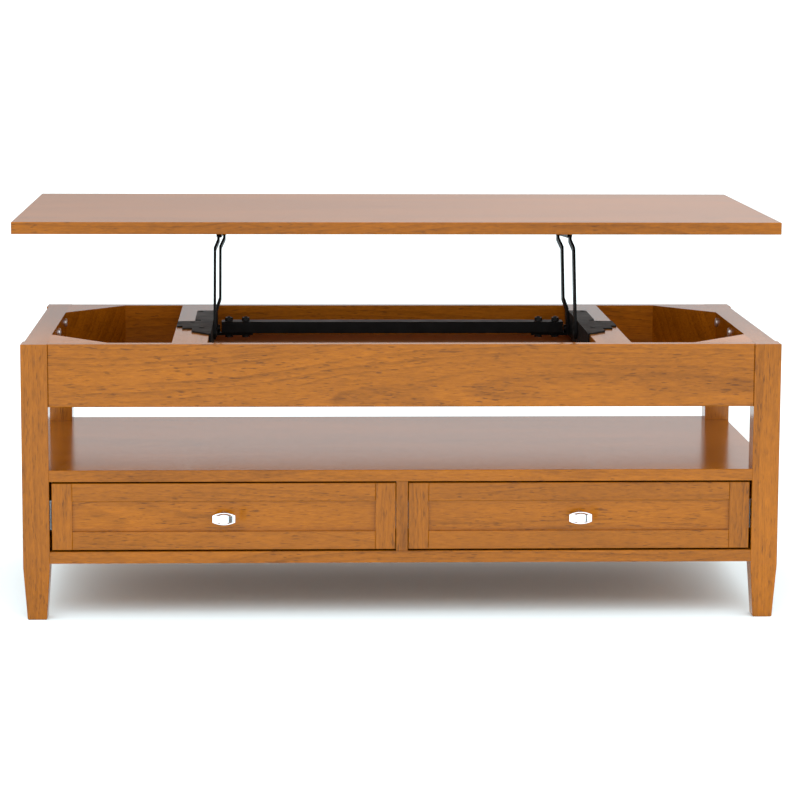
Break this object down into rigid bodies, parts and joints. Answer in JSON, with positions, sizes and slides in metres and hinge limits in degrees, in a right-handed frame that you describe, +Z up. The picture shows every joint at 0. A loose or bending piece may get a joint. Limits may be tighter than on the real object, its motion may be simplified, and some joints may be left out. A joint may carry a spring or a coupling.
{
  "type": "lift top coffee table",
  "caption": "Wooden coffee table with a top that lifts on hinged arms over storage bays, an open shelf and drawers.",
  "frame": {"origin": "on the floor, under the middle of the whole object's box, with the top raised as modelled; the leg fronts are 388.8 mm in front of it", "axes": "+X to the right of someone facing the drawers, +Y away from them, +Z up"},
  "size_m": [1.2192, 0.8216, 0.5978],
  "materials": {
    "honey_wood": "honey stain, semi-gloss lacquer",
    "stained_panel": "stained veneer panel, satin lacquer",
    "inner_wood": "clear matt lacquer",
    "black_steel": "satin black powder coat",
    "zinc_bolt": "bright zinc plate",
    "slide_steel": "zinc-plated rolled steel",
    "bright_nickel": "polished nickel plate",
    "bumper_rubber": "soft matt rubber"
  },
  "bodies": {
    "frame": {"leg_front_left": "honey_wood", "leg_front_right": "honey_wood", "leg_back_left": "honey_wood", "leg_back_right": "honey_wood", "apron_front": "honey_wood", "apron_back": "honey_wood", "apron_left": "honey_wood", "apron_right": "honey_wood", "corner_blocks": "honey_wood", "mechanism_rail_left": "honey_wood", "mechanism_rail_right": "honey_wood", "bay_walls": "honey_wood", "bay_floors": "stained_panel", "centre_tray": "stained_panel", "rail_bolts": "zinc_bolt", "shelf": "honey_wood", "bottom_board": "honey_wood", "case_sides": "honey_wood", "case_back": "honey_wood", "centre_partition": "honey_wood", "slide_spacers": "inner_wood", "slide_rails_left": "slide_steel", "slide_rails_right": "slide_steel", "lift_base_left": "black_steel", "lift_base_right": "black_steel", "base_pins": "black_steel", "base_screws": "black_steel"},
    "rear_arms": {"rear_arm_left": "black_steel", "rear_arm_right": "black_steel", "cross_bar": "black_steel", "bar_bolts": "black_steel", "bar_nuts": "black_steel"},
    "lid": {"lid_panel": "honey_wood", "lid_bracket_left": "black_steel", "lid_bracket_right": "black_steel", "lid_pivot_pins": "black_steel", "lid_screws": "black_steel", "lid_bumpers": "bumper_rubber"},
    "front_arm_left": {"front_arm_left": "black_steel"},
    "front_arm_right": {"front_arm_right": "black_steel"},
    "drawer_left": {"drawer_stiles_left": "honey_wood", "drawer_rails_left": "honey_wood", "drawer_panel_left": "honey_wood", "drawer_sides_left": "inner_wood", "drawer_ends_left": "inner_wood", "drawer_bottom_left": "inner_wood", "knob_left": "bright_nickel", "drawer_slides_left": "slide_steel"},
    "drawer_right": {"drawer_stiles_right": "honey_wood", "drawer_rails_right": "honey_wood", "drawer_panel_right": "honey_wood", "drawer_sides_right": "inner_wood", "drawer_ends_right": "inner_wood", "drawer_bottom_right": "inner_wood", "knob_right": "bright_nickel", "drawer_slides_right": "slide_steel"},
    "slide_middle_left": {"slide_middle_left": "slide_steel"},
    "slide_middle_right": {"slide_middle_right": "slide_steel"}
  },
  "joints": [
    {"name": "lift", "type": "hinge", "parent": "frame", "child": "rear_arms", "pos_m": [0, 0.0372, 0.4013], "axis": [1, 0, 0], "range_deg": [0, 105.6]},
    {"name": "lid_pivot", "type": "hinge", "parent": "rear_arms", "child": "lid", "pos_m": [0, 0.09037, 0.5575], "axis": [1, 0, 0], "range_deg": [-105.6, 0]},
    {"name": "front_arm_left_pivot", "type": "hinge", "parent": "frame", "child": "front_arm_left", "pos_m": [-0.2926, -0.0988, 0.4093], "axis": [1, 0, 0], "range_deg": [0, 105.6]},
    {"name": "front_arm_right_pivot", "type": "hinge", "parent": "frame", "child": "front_arm_right", "pos_m": [0.2926, -0.0988, 0.4093], "axis": [1, 0, 0], "range_deg": [0, 105.6]},
    {"name": "drawer_left_slide", "type": "slide", "parent": "frame", "child": "drawer_left", "axis": [0, -1, 0], "range_m": [0, 0.35]},
    {"name": "slide_middle_left_travel", "type": "slide", "parent": "frame", "child": "slide_middle_left", "axis": [0, -1, 0], "range_m": [0, 0.175]},
    {"name": "drawer_right_slide", "type": "slide", "parent": "frame", "child": "drawer_right", "axis": [0, -1, 0], "range_m": [0, 0.35]},
    {"name": "slide_middle_right_travel", "type": "slide", "parent": "frame", "child": "slide_middle_right", "axis": [0, -1, 0], "range_m": [0, 0.175]}
  ],
  "couplings": [
    {"joint": "lid_pivot", "follows": "lift", "ratio": -1},
    {"joint": "front_arm_left_pivot", "follows": "lift", "ratio": 1},
    {"joint": "front_arm_right_pivot", "follows": "lift", "ratio": 1},
    {"joint": "slide_middle_left_travel", "follows": "drawer_left_slide", "ratio": 0.5},
    {"joint": "slide_middle_right_travel", "follows": "drawer_right_slide", "ratio": 0.5}
  ]
}
